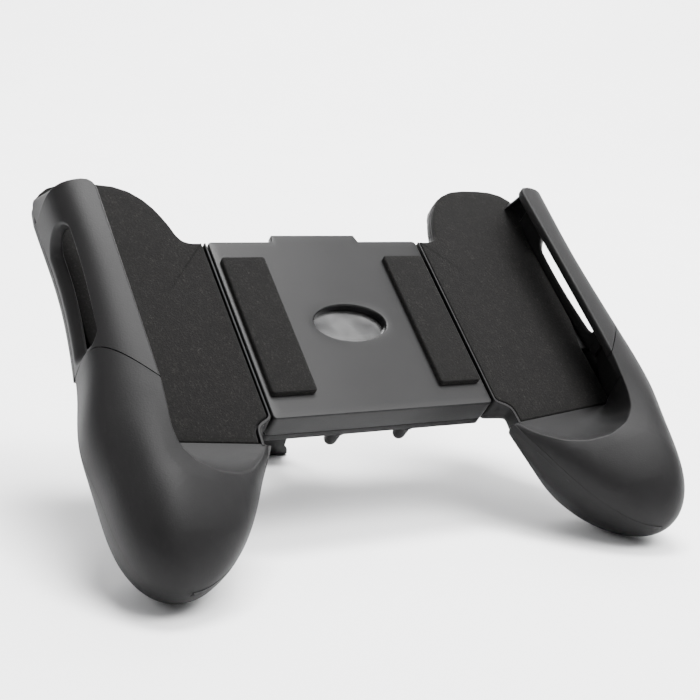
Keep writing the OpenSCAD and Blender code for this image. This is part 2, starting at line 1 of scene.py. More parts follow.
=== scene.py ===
# %% [markdown]
# # A stretching phone grip
# The object is a black two-handed grip that clamps a phone. Its solids come from the imported model, already in
# place and in metres. This script dresses them: the moulded skins are worked out again as smooth surfaces, the
# foam is laid in the trays, and every surface gets a finish. The first step loads the fixed frame.

# %% The fixed frame
import math
import bmesh
import bpy
import numpy as np
from mathutils import Matrix, Vector


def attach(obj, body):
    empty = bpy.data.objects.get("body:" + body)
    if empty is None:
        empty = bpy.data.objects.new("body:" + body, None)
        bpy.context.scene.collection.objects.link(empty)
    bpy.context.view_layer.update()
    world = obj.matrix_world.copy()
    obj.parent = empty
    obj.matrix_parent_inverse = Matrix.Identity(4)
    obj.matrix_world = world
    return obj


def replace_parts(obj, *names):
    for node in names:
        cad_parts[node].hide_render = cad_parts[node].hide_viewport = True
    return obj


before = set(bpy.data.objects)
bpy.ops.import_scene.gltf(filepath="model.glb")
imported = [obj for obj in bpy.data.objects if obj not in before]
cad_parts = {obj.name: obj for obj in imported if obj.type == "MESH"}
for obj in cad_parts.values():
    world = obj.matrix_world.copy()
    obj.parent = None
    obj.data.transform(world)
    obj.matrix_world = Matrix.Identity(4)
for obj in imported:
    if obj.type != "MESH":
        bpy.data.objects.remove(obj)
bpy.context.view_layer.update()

# %% [markdown]
# ## Where the camera stands
# The photograph was solved for its camera, so the position and the three directions are plain numbers here. A long
# lens close to the object keeps the near grip a little larger than the far one, as in the picture.

# %% Camera
lens = bpy.data.cameras.new("photo_lens")
lens.sensor_width = 36
lens.lens = 70.05
lens.clip_start = 0.01
lens.clip_end = 20
camera = bpy.data.objects.new("photo_camera", lens)
bpy.context.scene.collection.objects.link(camera)
to_right = (0.86689675, -0.49150694, 0.08313218)
upwards = (0.04257929, 0.23916995, 0.97004368)
backwards = (-0.49666591, -0.837388, 0.22826367)
eye = (-0.1741164, -0.28857303, 0.12235512)
camera.matrix_world = Matrix([(to_right[i], upwards[i], backwards[i], eye[i]) for i in range(3)] + [(0, 0, 0, 1)])
bpy.context.scene.camera = camera
print("camera at", eye)

# %% [markdown]
# ## From a drawing to the table
# Every shape below is drawn flat, in millimetres: x along the stretch, y up the phone bed, z out of the bed with 0
# on the plate's face. One function leans the drawing back by 38 degrees and sets it on the table. A handle is drawn
# once, with x measured from the plate's edge, and mirrored for the other side.

# %% Standing the drawing up
LEAN = math.radians(38)
SHIFT_Y, SHIFT_Z = 5.90042, 49.3966
EDGE, PLATE_Y = 31.5, 28.0


def standing(points):
    """Turn by the lean about x, then move back and up; millimetres become metres."""
    x, y, z = np.moveaxis(np.asarray(points, float), -1, 0)
    c, s = math.cos(LEAN), math.sin(LEAN)
    return np.stack([x, y * c - z * s + SHIFT_Y, y * s + z * c + SHIFT_Z], -1) / 1000


def handed(points, side):
    """Handle drawing to plate drawing: add the plate's half width, and mirror for the left side."""
    return (np.asarray(points, float) + (EDGE, 0, 0)) * (side, 1, 1) if side else np.asarray(points, float)


print("face of the plate stands at", standing((0, 0, 0)).round(4))

# %% [markdown]
# ## Grids become meshes
# A surface here is an array of points with two indices. Each cell of that grid is one four-sided face. Several grids
# can share a mesh: points that coincide are merged, so seams and poles close. A thin skin gets its wall from
# Solidify, and the result is fixed into the mesh so that real edges can be told from smooth ones by their angle.

# %% Mesh helpers
MERGE, SLIVER, CREASE = 4e-6, 2e-6, math.radians(40)


def grid_faces(n, m, loop_n, loop_m):
    """Faces of an n by m grid: each joins a point, its next in n, the one across, and its next in m."""
    i = np.arange(n if loop_n else n - 1)[:, None]
    j = np.arange(m if loop_m else m - 1)[None]
    k, l = (i + 1) % n, (j + 1) % m
    return np.stack([i * m + j, k * m + j, k * m + l, i * m + l], -1).reshape(-1, 4)


def piece(name, grids, body, finish, side=0, wall=0, core=None):
    """One mesh from grids (points, loop in n, loop in m). core is a point inside, for which way is out."""
    points, faces, start = [], [], 0
    for grid, loop_n, loop_m in grids:
        n, m = grid.shape[:2]
        points.append(standing(handed(grid, side)).reshape(-1, 3))
        faces.append(grid_faces(n, m, loop_n, loop_m) + start)
        start += n * m
    mesh = bpy.data.meshes.new(name)
    mesh.from_pydata(np.concatenate(points), [], np.concatenate(faces))
    bm = bmesh.new()
    bm.from_mesh(mesh)
    bmesh.ops.remove_doubles(bm, verts=bm.verts, dist=MERGE)
    bmesh.ops.dissolve_degenerate(bm, edges=bm.edges, dist=SLIVER)
    bmesh.ops.recalc_face_normals(bm, faces=bm.faces)
    if core is not None:
        heart = Vector(standing(handed(core, side)))
        turn = sum(f.calc_area() * f.normal.dot(f.calc_center_median() - heart) for f in bm.faces)
        if turn < 0:
            bmesh.ops.reverse_faces(bm, faces=bm.faces)
    bm.to_mesh(mesh)
    bm.free()
    obj = bpy.data.objects.new(name, mesh)
    bpy.context.scene.collection.objects.link(obj)
    if wall:
        shell = obj.modifiers.new("wall", "SOLIDIFY")
        shell.thickness = wall / 1000
        shell.offset = -1
        ready = obj.evaluated_get(bpy.context.evaluated_depsgraph_get())
        solid = bpy.data.meshes.new_from_object(ready)
        obj.modifiers.clear()
        obj.data = solid
    obj.data.shade_smooth()
    obj.data.set_sharp_from_angle(angle=CREASE)
    obj.data.materials.clear()
    obj.data.materials.append(finish)
    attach(obj, body)
    print(name, len(obj.data.vertices), "points", len(obj.data.polygons), "faces")
    return obj


# %% [markdown]
# ## Finishes
# A finish is a small tree of shader nodes. Wrapping a socket in a class lets the arithmetic be written as ordinary
# Python: `grain * 0.2 + 0.4` adds the Math nodes by itself. Everything reads Object coordinates, because each piece
# keeps its place in its mesh, so a pattern never slides.

# %% Shader maths
class Shade:
    """One output socket of a material; arithmetic on it makes Math nodes."""

    def __init__(self, finish, socket):
        self.finish, self.socket = finish, socket

    def math(self, what, a, b):
        return self.finish.node("Math", {"operation": what}, {0: a, 1: b})

    def __add__(self, other): return self.math("ADD", self, other)
    def __radd__(self, other): return self.math("ADD", other, self)
    def __sub__(self, other): return self.math("SUBTRACT", self, other)
    def __rsub__(self, other): return self.math("SUBTRACT", other, self)
    def __mul__(self, other): return self.math("MULTIPLY", self, other)
    def __rmul__(self, other): return self.math("MULTIPLY", other, self)


class Finish:
    """A material with its principled shader, and one method that adds any other node."""

    def __init__(self, name, **constants):
        self.material = bpy.data.materials.new(name)
        self.material.use_nodes = True
        self.tree = self.material.node_tree
        self.shader = self.tree.nodes["Principled BSDF"]
        for key, value in constants.items():
            self.shader.inputs[key.replace("_", " ")].default_value = value
        self.place = self.node("TexCoord", {}, {}, "Object")

    def node(self, kind, settings, inputs, out=0):
        made_node = self.tree.nodes.new("ShaderNode" + kind)
        for key, value in settings.items():
            if key == "stops":
                for i, (at, grey) in enumerate(value):
                    stop = made_node.color_ramp.elements[i] if i < 2 else made_node.color_ramp.elements.new(at)
                    stop.position, stop.color = at, (*grey, 1)
            else:
                setattr(made_node, key, value)
        for key, value in inputs.items():
            if isinstance(value, Shade):
                self.tree.links.new(value.socket, made_node.inputs[key])
            else:
                made_node.inputs[key].default_value = value
        return Shade(self, made_node.outputs[out])

    def noise(self, scale, detail=2.0, place=None, rough=0.5):
        return self.node("TexNoise", {}, {"Vector": place or self.place, "Scale": scale, "Detail": detail,
                                          "Roughness": rough}, "Fac")

    def tint(self, by, *stops):
        return self.node("ValToRGB", {"stops": stops}, {"Fac": by}, "Color")

    def bump(self, height, depth, strength=1.0):
        return self.node("Bump", {}, {"Height": height, "Distance": depth, "Strength": strength}, "Normal")

    def use(self, **links):
        for key, value in links.items():
            self.tree.links.new(value.socket, self.shader.inputs[key.replace("_", " ")])
        return self.material


print("shader maths ready")

# %% [markdown]
# ## Moulded plastic
# The shells are black ABS from a spark-eroded mould: a fine even grain breaks the highlight into a soft satin one.
# Broad, faint differences in gloss come from handling. The centre plate is the same plastic from a smoother mould.

# %% Plastic finishes
def moulded(name, shade, gloss, shine, grain, depth):
    """Dark plastic: two noises vary the tone and the gloss, and a fine one is the mould's grain."""
    f = Finish(name, IOR=1.46, Specular_IOR_Level=shine)
    broad = f.noise(38, 3)
    fine = f.noise(grain, 2)
    tone = f.tint(broad, (0.3, [c * 0.88 for c in shade]), (0.7, [c * 1.12 for c in shade]))
    rough = broad * 0.1 + fine * 0.08 + (gloss - 0.09)
    return f.use(Base_Color=tone, Roughness=rough, Normal=f.bump(fine, depth))


grip_plastic = moulded("satin_grip_plastic", (0.006, 0.0058, 0.006), 0.53, 0.15, 2600, 0.00003)
plate_plastic = moulded("smooth_plate_plastic", (0.0058, 0.0057, 0.0059), 0.38, 0.18, 1900, 0.000014)
cover_plastic = moulded("rear_cover_plastic", (0.006, 0.0058, 0.006), 0.53, 0.15, 2300, 0.00003)
stand_plastic = moulded("stand_plastic", (0.005, 0.005, 0.0052), 0.42, 0.18, 2400, 0.00003)
tongue_plastic = moulded("slide_tongue_plastic", (0.011, 0.011, 0.0115), 0.36, 0.3, 1700, 0.00002)
print("plastics made")

# %% [markdown]
# ## Foam, foil and steel
# The pads are thin closed-cell foam with a brushed face: almost black, with short lighter fibres and pits. The badge
# is silver foil, a little wavy. Screws, pin and springs are plain steel with faint turning marks.

# %% Foam, foil and steel finishes
def brushed_foam():
    """Charcoal foam: stretched noises make short fibres, small cells make pits."""
    f = Finish("charcoal_foam", IOR=1.4, Specular_IOR_Level=0.12, Sheen_Weight=0.03, Sheen_Roughness=0.6)
    lie = f.node("Mapping", {}, {"Vector": f.place, "Rotation": (0.5, 0.3, 0.7), "Scale": (1, 0.4, 1)})
    fibres = f.noise(1900, 3, lie, 0.7)
    specks = f.noise(2700, 2, rough=0.6)
    patches = f.noise(420, 3, rough=0.6)
    mixed = fibres * 0.55 + specks * 0.45
    tone = f.tint(mixed * 0.8 + patches * 0.2, (0.4, (0.0018, 0.0017, 0.0016)), (0.72, (0.03, 0.028, 0.025)),
                  (0.52, (0.0034, 0.0032, 0.003)), (0.6, (0.008, 0.0076, 0.007)))
    return f.use(Base_Color=tone, Roughness=patches * 0.1 + 0.86, Normal=f.bump(mixed, 0.00016))


def silver_foil():
    """Bright foil with slow waves and a faint brushed grain."""
    f = Finish("silver_foil", Metallic=1.0)
    waves = f.noise(75, 2)
    grain = f.noise(2400, 2, f.node("Mapping", {}, {"Vector": f.place, "Scale": (0.08, 1, 1)}))
    tone = f.tint(waves, (0.42, (0.035, 0.035, 0.036)), (0.6, (0.14, 0.14, 0.14)))
    return f.use(Base_Color=tone, Roughness=grain * 0.12 + 0.13, Normal=f.bump(waves, 0.00012))


def turned_steel():
    """Steel with fine turning marks and slightly uneven gloss."""
    f = Finish("turned_steel", Metallic=1.0)
    marks = f.noise(3200, 2)
    tone = f.tint(f.noise(260, 2), (0.3, (0.42, 0.42, 0.43)), (0.7, (0.56, 0.56, 0.57)))
    return f.use(Base_Color=tone, Roughness=marks * 0.16 + 0.22, Normal=f.bump(marks, 0.00001))


foam, foil, steel = brushed_foam(), silver_foil(), turned_steel()
print("foam, foil and steel made")

# %% [markdown]
# ## The handle's envelope
# Each handle is one smooth form: six sections down its length, square-shouldered above the parting plane and round
# below it, closing to a bulb at the grip's end. A section is a superellipse. The arm, the grip's cover and the rear
# shell are all cut from this one envelope, so they meet without steps.

# %% Envelope of a handle
SLIT, DECK_TOP, DECK_LOW, BACK = 0.6, -1.5, -3.5, -9.3
LIP_IN, ARM_T, ARM_H, ARM_FAR = 31.7, 2.6, 15.0, 36.0
TIP_Y, CAP_FROM, CAP_POWER = -69.5, -30.0, 2.4
# A station is y, inner side, outer side, top, underside and squareness of the upper half.
INNER, OUTER, TOP, UNDER, SQUARE = 1, 2, 3, 4, 5
STATIONS = np.array([[36, 8.5, 42.7, 14.6, -9.3, 4.5],
                     [10, 6.5, 42.0, 15, -9.3, 4.5],
                     [-14, 4.5, 44.3, 15.2, -7.7, 3.7],
                     [-30, 1.6, 47.6, 15.2, -8.6, 2.75],
                     [-46, 8.2, 47.4, 15.2, -21.4, 2.4],
                     [TIP_Y, 14.9, 51.9, 15.2, -20.4, 2.3]])


def column(k, y):
    """Smooth curve through column k of the stations: a cubic between each two, with slopes from the neighbours."""
    at, v, last = STATIONS[:, 0], STATIONS[:, k], len(STATIONS) - 1
    y = np.clip(np.asarray(y, float), at[-1], at[0])
    i = np.clip(np.searchsorted(-at, -y) - 1, 0, last - 1)
    before, after = np.maximum(i - 1, 0), np.minimum(i + 2, last)
    h = at[i + 1] - at[i]
    t = (y - at[i]) / h
    m0 = h * (v[i + 1] - v[before]) / (at[i + 1] - at[before])
    m1 = h * (v[after] - v[i]) / (at[after] - at[i])
    return ((2 * t ** 3 - 3 * t ** 2 + 1) * v[i] + (t ** 3 - 2 * t ** 2 + t) * m0
            + (3 * t ** 2 - 2 * t ** 3) * v[i + 1] + (t ** 3 - t ** 2) * m1)


def envelope(y, w=0.0):
    """Middle, half width, rise and fall of the section at y, each drawn in by w; the grip closes to its tip."""
    way = np.clip((CAP_FROM - np.asarray(y, float)) / (CAP_FROM - TIP_Y - w), 0, 1)
    closed = np.sqrt(1 - way ** CAP_POWER)
    inner, outer = column(INNER, y), column(OUTER, y)
    half = ((outer - inner) / 2 - w) * closed
    rise, fall = (column(TOP, y) - DECK_TOP - w) * closed, (DECK_TOP - column(UNDER, y) - w) * closed
    return (inner + outer) / 2, half, rise, fall


def smooth(t):
    """Rises from 0 to 1 with flat ends."""
    t = np.clip(t, 0, 1)
    return t * t * (3 - 2 * t)


def squircle(turn, power):
    """Unit superellipse by its polar angle: direction divided by (|cos|^p + |sin|^p)^(1/p)."""
    c, s = np.cos(turn), np.sin(turn)
    reach = (np.abs(c) ** power + np.abs(s) ** power) ** (1 / power)
    return c / reach, s / reach


def top_at(x, y):
    """Height of the envelope's upper face over a point of the plan."""
    middle, half, rise, _ = envelope(y)
    u = np.clip(np.abs(x - middle) / np.maximum(half, 1e-6), 0, 1)
    power = column(SQUARE, y)
    return DECK_TOP + rise * (1 - u ** power) ** (1 / power)


print("section at the seam", [round(float(v), 2) for v in envelope(-20.0)])

# %% [markdown]
# ## The slotted arm
# The arm rises from the tray, curls over the phone's end as a lip, and has a long slot through it. A wall with one
# hole is a ring, so it is drawn as a ring: one parameter runs round the slot, the other runs out over the outer
# face, round the wall's edge, back over the inner face and through the slot. All edges come out rounded. A sloping
# wall closes the far end, and a thin tongue inside the wall closes the view through the seam.

# %% Arm
SEAM, SEAM_Y, SEAM_Z = np.array([0.765, -0.6419, 0.0523]), -25.0, ARM_H - 2
SLOT_Y, SLOT_Z, SLOT_HALF, SLOT_R = 7.0, 6.8, 18.0, 4.0
# The slot's mouth on the outer face is longer, and wider above and below, than on the inner face.
MOUTH_LONG, MOUTH_UP, MOUTH_DOWN = 1.05, 1.1, 1.7
EDGE_R, SEAM_R = 0.8, 0.2


def arm_shape(y, w):
    """Middle, half width, rise and squareness of the arm at y and depth w, and the angle of the lip's edge."""
    middle, half, rise, _ = envelope(y, w)
    power = column(SQUARE, y)
    lip = np.clip((LIP_IN - middle) / half, 0, 1)
    return middle, half, rise, power, np.arctan2((1 - lip ** power) ** (1 / power), lip)


def arm_point(y, s, w):
    """Point of the arm's wall: s is 0 at the foot and 1 at the lip, w is the depth below the outer face."""
    middle, half, rise, power, lip_turn = arm_shape(y, w)
    x, z = squircle(s * lip_turn, power)
    return np.stack(np.broadcast_arrays(middle + half * x, y, DECK_TOP + rise * z), -1)


def seam_line(s):
    """Where the seam's plane meets the arm at s, by putting the point back into the plane until it settles."""
    y = np.full(np.shape(s), -20.0)
    for _ in range(30):
        p = arm_point(y, s, 0.0)
        y = SEAM_Y - (SEAM[0] * (p[..., 0] - LIP_IN) + SEAM[2] * (p[..., 2] - SEAM_Z)) / SEAM[1]
    return y


def slot_share(y, z, w):
    """Share of the way from foot to lip at which the wall at depth w has height z."""
    _, _, rise, power, lip_turn = arm_shape(y, w)
    up = np.maximum(z - DECK_TOP, 0) / rise
    return np.arctan2(up, (1 - up ** power) ** (1 / power)) / lip_turn


def rounded_corner(r, s, dr, ds):
    """Draw the corner r = s = 1 of the unit square in to a quarter ellipse with half axes dr and ds."""
    a, b = np.clip((r - 1 + dr) / dr, 0, 1), np.clip((s - 1 + ds) / ds, 0, 1)
    shrink = np.maximum(a, b) / np.maximum(np.hypot(a, b), 1e-9)
    inside = (a > 0) & (b > 0)
    return np.where(inside, 1 - dr + dr * a * shrink, r), np.where(inside, 1 - ds + ds * b * shrink, s)


def arm_ring(gap):
    """Points round the slot by points across the wall; gap is the room left at the seam."""
    straight, ends = 50, 46
    a = np.linspace(0, 1, straight, endpoint=False)
    bend = np.pi * (0.5 - np.linspace(0, 1, ends, endpoint=False))
    run = SLOT_HALF - SLOT_R
    y = SLOT_Y + np.concatenate([run * (2 * a - 1), run + SLOT_R * np.cos(bend),
                                 run * (1 - 2 * a), -run - SLOT_R * np.cos(bend)])
    up = SLOT_R * np.concatenate([np.ones(straight), np.sin(bend), -np.ones(straight), -np.sin(bend)])
    y_out = SLOT_Y + (y - SLOT_Y) * MOUTH_LONG
    s_in = slot_share(y, SLOT_Z + up, ARM_T)
    s_out = slot_share(y_out, SLOT_Z + np.where(up < 0, MOUTH_DOWN, MOUTH_UP) * up, 0.0)
    near = seam_line(s_out)
    r, r_out = (y - near) / (ARM_FAR - near), (y_out - near) / (ARM_FAR - near)
    foot, n1, n2 = -0.04, ends // 3, ends - 2 * (ends // 3)
    r_far, r_near = r[straight], r[2 * straight + ends]
    # The wall's edge, point for point with the slot: lip, far end, foot and seam.
    edge_r = np.concatenate([r[:straight], np.linspace(r_far, 1, n1, endpoint=False), np.ones(n2),
                             np.linspace(1, r_far, n1, endpoint=False), r[straight + ends:2 * straight + ends],
                             np.linspace(r_near, 0, n1, endpoint=False), np.zeros(n2),
                             np.linspace(0, r_near, n1, endpoint=False)])
    edge_s = np.concatenate([np.ones(straight + n1), np.linspace(1, foot, n2, endpoint=False),
                             np.full(n1 + straight + n1, foot), np.linspace(foot, 1, n2, endpoint=False),
                             np.ones(n1)])
    out_r = np.where(edge_r < 0.004, SEAM_R, EDGE_R)
    out_r = sum(np.roll(out_r, k) for k in (-2, -1, 0, 1, 2)) / 5
    edge_r, edge_s = rounded_corner(edge_r, edge_s, 0.06, 0.12)
    reach = np.linalg.norm(arm_point(ARM_FAR * edge_r + seam_line(edge_s) * (1 - edge_r), edge_s, 0.0)
                           - arm_point(y_out, s_out, 0.0), axis=-1)
    q = np.linspace(0, np.pi / 2, 7)
    flat = 0.5 - 0.5 * np.cos(np.pi * np.linspace(0, 1, 30))[1:-1]
    bulge = 1 - np.cos(q)
    e_out, e_slot = (np.minimum(size / reach, 0.45) for size in (out_r, EDGE_R))
    col = lambda v: v[:, None]
    # f goes from the slot (0) to the edge (1) and back: out over the outer face, home over the inner one at depth w.
    f = np.concatenate([col(e_slot) * (1 - np.sin(q[::-1])), col(e_slot) + col(1 - e_out - e_slot) * flat,
                        1 - col(e_out) * (1 - np.sin(q)), 1 - col(e_out) * (1 - np.sin(q[::-1])),
                        col(e_slot) + col(1 - e_out - e_slot) * flat[::-1], col(e_slot) * (1 - np.sin(q))], 1)
    ones = np.ones((len(r), 1))
    w = np.concatenate([EDGE_R * bulge[::-1] * ones, 0 * flat * ones, col(out_r) * bulge,
                        ARM_T - col(out_r) * bulge[::-1], ARM_T + 0 * flat * ones, ARM_T - EDGE_R * bulge * ones], 1)
    s_slot = col(s_out) + col(s_in - s_out) * w / ARM_T
    r_slot = col(r_out) + col(r - r_out) * w / ARM_T
    rr = (1 - f) * r_slot + f * col(edge_r)
    ss = (1 - f) * s_slot + f * col(edge_s)
    start = seam_line(ss) + gap
    return arm_point(start + rr * (ARM_FAR - start), ss, w)


WALL_FOOT = np.array([(42.5, 36.4), (42.7, 43.0), (41.0, 46.6), (38.4, 42.3)])
WALL_END, WALL_LOW = ARM_FAR - 0.7, DECK_TOP - 0.3


def ended(strip):
    """Rows of a strip with its first and last row drawn together to their middles, which closes its ends."""
    return np.concatenate([strip[:1] * 0 + strip[0].mean(0), strip, strip[:1] * 0 + strip[-1].mean(0)])


def end_wall():
    """Sloping wall at the arm's far end: straight lines from the arm's end out to a cubic curve at its foot."""
    share, t = np.linspace(0.02, 0.86, 48), np.linspace(0, 1, 10)[None, :, None]
    k = (share / share[-1])[:, None]
    foot = ((1 - k) ** 3 * WALL_FOOT[0] + 3 * (1 - k) ** 2 * k * WALL_FOOT[1]
            + 3 * (1 - k) * k ** 2 * WALL_FOOT[2] + k ** 3 * WALL_FOOT[3])

    def sheet(depth, inset):
        top = arm_point(np.full(len(share), WALL_END), share, depth)
        base = np.concatenate([foot - inset, np.full((len(share), 1), WALL_LOW)], 1)
        return top[:, None] * (1 - t) + base[:, None] * t

    return ended(np.concatenate([sheet(0.15, 0.0), sheet(1.4, 1.2)[:, ::-1]], 1))


def seam_tongue():
    """A thin strip inside the wall that crosses the seam, as a four-sided profile carried from foot to lip."""
    share = np.linspace(0.01, 0.98, 40)[:, None]
    reach, depth = np.array([2.0, -2.6, -2.6, 2.0]), np.array([1.2, 1.2, 2.5, 2.5])
    return ended(arm_point(seam_line(share) + reach, share, depth))


arm = arm_ring(0.2)
for side, hand in ((-1, "left"), (1, "right")):
    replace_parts(piece(hand + "_arm", [(arm, True, True), (end_wall(), False, True), (seam_tongue(), False, True)],
                      hand + "_handle", grip_plastic, side), hand + "_clamp_frame")

# %% [markdown]
# ## Slabs with rounded edges
# Decks, pads and covers are flat slabs with an outline. One profile is carried round the outline: in from the
# middle of the underside, round the lower edge, up the side, round the upper edge, and in again to the middle of the
# top. Small radii matter here, because a thin bright line along every edge is what shows the slit and the rims.

# %% Slab and outline helpers
def inset_line(line, by):
    """A closed outline moved inwards by the given distance, along the normals of its neighbours' chord."""
    along = np.roll(line, -1, 0) - np.roll(line, 1, 0)
    normal = np.stack([-along[:, 1], along[:, 0]], -1) / np.linalg.norm(along, axis=1, keepdims=True)
    return line + by * normal


def dense(corners, step=0.6):
    """A closed outline through the corners, counter-clockwise, with points about a step apart."""
    corners = np.asarray(corners, float)
    area = np.sum(corners[:, 0] * np.roll(corners[:, 1], -1) - corners[:, 1] * np.roll(corners[:, 0], -1))
    corners = corners if area > 0 else corners[::-1]
    ring = np.concatenate([corners, corners[:1]])
    at = np.concatenate([[0], np.cumsum(np.linalg.norm(np.diff(ring, axis=0), axis=1))])
    keep = np.concatenate([[True], np.diff(at) > 1e-6])
    at, ring = at[keep], ring[keep]
    count = np.maximum(1, np.ceil(np.diff(at) / step)).astype(int)
    t = np.concatenate([np.linspace(a, b, n, endpoint=False) for a, b, n in zip(at[:-1], at[1:], count)])
    return np.stack([np.interp(t, at, ring[:, 0]), np.interp(t, at, ring[:, 1])], -1)


def resampled(line, n):
    """A polyline with n points, evenly spaced along it."""
    at = np.concatenate([[0], np.cumsum(np.linalg.norm(np.diff(line, axis=0), axis=1))])
    t = np.linspace(0, at[-1], n)
    return np.stack([np.interp(t, at, line[:, i]) for i in range(line.shape[1])], -1)


def eased(line, width):
    """A polyline with its corners softened by a running mean; its ends stay."""
    k = np.hanning(2 * width + 3)[1:-1]
    k /= k.sum()
    grown = np.concatenate([2 * line[:1] - line[width:0:-1], line, 2 * line[-1:] - line[-2:-width - 2:-1]])
    return np.stack([np.convolve(grown[:, i], k, "valid") for i in range(line.shape[1])], -1)


def arc(x, y, r, a, b, n=14):
    """Points of an arc from angle a to b, in degrees."""
    t = np.radians(np.linspace(a, b, n))
    return list(zip(x + r * np.cos(t), y + r * np.sin(t)))


def rounded_box(w, d, r, x=0.0, y=0.0):
    """Corners of a rectangle with rounded corners."""
    out = []
    for sx, sy, a in ((1, 1, 0), (-1, 1, 90), (-1, -1, 180), (1, -1, 270)):
        out += arc(x + sx * (w / 2 - r), y + sy * (d / 2 - r), r, a, a + 90, 8)
    return out


def slab(line, low, top, r_low, r_top, heart, crown=0.0):
    """Rings from the middle of the underside, round the edges, to the middle of the top, which rises by crown."""
    q = np.linspace(0, np.pi / 2, 5)
    rings = []
    add = lambda flat, z: rings.append(np.concatenate([flat, np.full((len(line), 1), z)], 1))
    heart = np.asarray(heart, float)
    base = inset_line(line, r_low)
    for t in (0.0, 0.5, 0.8):
        add(heart + (base - heart) * t, low)
    for a in q:
        add(inset_line(line, r_low * (1 - math.sin(a))), low + r_low * (1 - math.cos(a)))
    for a in q:
        add(inset_line(line, r_top * (1 - math.cos(a))), top - r_top * (1 - math.sin(a)))
    head = inset_line(line, r_top)
    for t in (0.93, 0.8, 0.6, 0.4, 0.2, 0.0):
        add(heart + (head - heart) * t, top + crown * (1 - t ** 4))
    return np.stack(rings)


STRIP_W, STRIP_D, STRIP_H, STRIP_R = 12.2, 43, 1.5, 0.8
print("a strip's outline has", len(dense(rounded_box(STRIP_W, STRIP_D, STRIP_R))), "points")

# %% [markdown]
# ## Trays and their foam
# The tray is a deck that reaches from the slit to the arm, with a rounded far end and a narrow neck beside the plate.
# Foam lines it, a little inside the rim, right up to the arm's wall and on under the sloping wall at the arm's end.

# %% Decks and pads
def bay_edge(x):
    """Near edge of the tray, slanted away from the grip towards the arm."""
    return -34.5 + 0.1125 * (x - 5.8)


# The tray's outer side below the seam, an x past every outer side, and the far edge from the slit to the arm.
TRAY_OUT, BEYOND, FAR_Y = 38.0, 60.0, 48.3
FAR_LINE = np.array([(SLIT, PLATE_Y), (4.6, PLATE_Y), (6.4, 28.7), (7.5, 30.6), (8.3, 33.5), (9.5, 36.6),
                     (11.0, 39.8), (13.2, 43.0), (16.4, 45.9), (20.4, 47.7), (25.0, FAR_Y), (30.0, FAR_Y),
                     (34.5, 47.9), (38.2, 46.6), (40.9, 44.2), (42.3, 40.8), (42.7, 36.5)])


def drawn_in(line, by):
    """An open line moved to its right-hand side by the given distance."""
    along = np.gradient(line, axis=0)
    return line + by * np.stack([along[:, 1], -along[:, 0]], -1) / np.linalg.norm(along, axis=1, keepdims=True)


def tray_line(inset, sides, corner):
    """Outline of the tray: far edge drawn in, outer side through (y, x) points, then the neck's near corner."""
    far = drawn_in(far_edge, inset)
    far = far[far[:, 0] > corner[-1][0]]
    start_x, lift = corner[0]
    down = np.linspace(sides[0][0], bay_edge(TRAY_OUT) + lift, 64)
    out = np.interp(-down, [-y for y, _ in sides], [x for _, x in sides])
    side = np.stack([np.minimum(out, column(OUTER, down) - 0.05), down], -1)
    return dense(np.concatenate([far, side, [(start_x, bay_edge(start_x) + lift)], corner[1:]]))


far_edge = eased(resampled(FAR_LINE, 300), 5)
foot_y = float(seam_line(np.array(0.0)))
deck_plan = tray_line(0.0, [(36.4, BEYOND), (foot_y + 0.3, BEYOND), (foot_y + 0.2, TRAY_OUT)],
                      [(5.3, 0.1), (5.2, -29.6), (1.0, -26.4), (SLIT, -25.6)])
pad_plan = tray_line(0.4, [(36.2, 42.2), (30.5, 39.3), (foot_y + 9.0, 39.3), (foot_y + 0.4, 37.8)],
                     [(6.0, 0.25), (5.75, -31.2), (5.3, -29.5), (4.1, -28.4), (1.8, -27.1), (1.45, -26.6)])
tray_heart = (20, 6)
deck = slab(deck_plan, DECK_LOW, DECK_TOP, 0.2, 0.4, tray_heart)
pad = slab(pad_plan, DECK_TOP, 0.0, 0.1, 0.45, tray_heart)
for side, hand in ((-1, "left"), (1, "right")):
    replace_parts(piece(hand + "_deck", [(deck, False, True)], hand + "_handle", grip_plastic, side,
                      core=(*tray_heart, -2.5)), hand + "_clamp_frame")
    lining = piece(hand + "_tray_foam", [(pad, False, True)], hand + "_handle", foam, side,
                   core=(*tray_heart, -0.8))
    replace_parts(lining, hand + "_tray_pad")

# %% [markdown]
# ## The grip's cover
# The cover runs from the seam over the bulb to the thumb scoop. Its skin is a ribbon: one parameter follows the rim,
# first the lip and then round the scoop, the other goes from the parting line up over the shoulder to that rim. It
# then rolls over the rim: under the lip it drops to the tray, and in the scoop it becomes the bowl.

# %% Cover of a grip
BAY_TOP, BAY_OUT, BOWL_OUT = 12.4, 38.1, 37.0
PARTING_END = -34.6
# Points in a chain from the parting line to the rim, and in a drop to the deck.
CHAIN, DROP = 64, 15
# Share of the height that the inner side keeps, by the distance towards the tip.
KEPT_AT, KEPT = [34, 36, 40, 47, 60], [0.16, 0.2, 0.34, 0.55, 0.78]


def share_of(x, y):
    """Place across the section at y: -1 at the inner side, 1 at the outer side."""
    middle, half, _, _ = envelope(y)
    return (x - middle) / np.maximum(half, 1e-6)


def shoulder(x, y):
    """The envelope's top, drawn down on the inner side past the seam, where the scoop's rim falls to the tray."""
    inner = np.interp(-y, KEPT_AT, KEPT)
    v = share_of(x, y)
    across = inner + (1 - inner) * smooth((v + 0.9) / 1.6)
    start = smooth((SEAM_Y - y) / (8 + 14 * smooth((v + 0.5) / 0.7)))
    return DECK_TOP + (top_at(x, y) - DECK_TOP) * (1 - start * (1 - across))


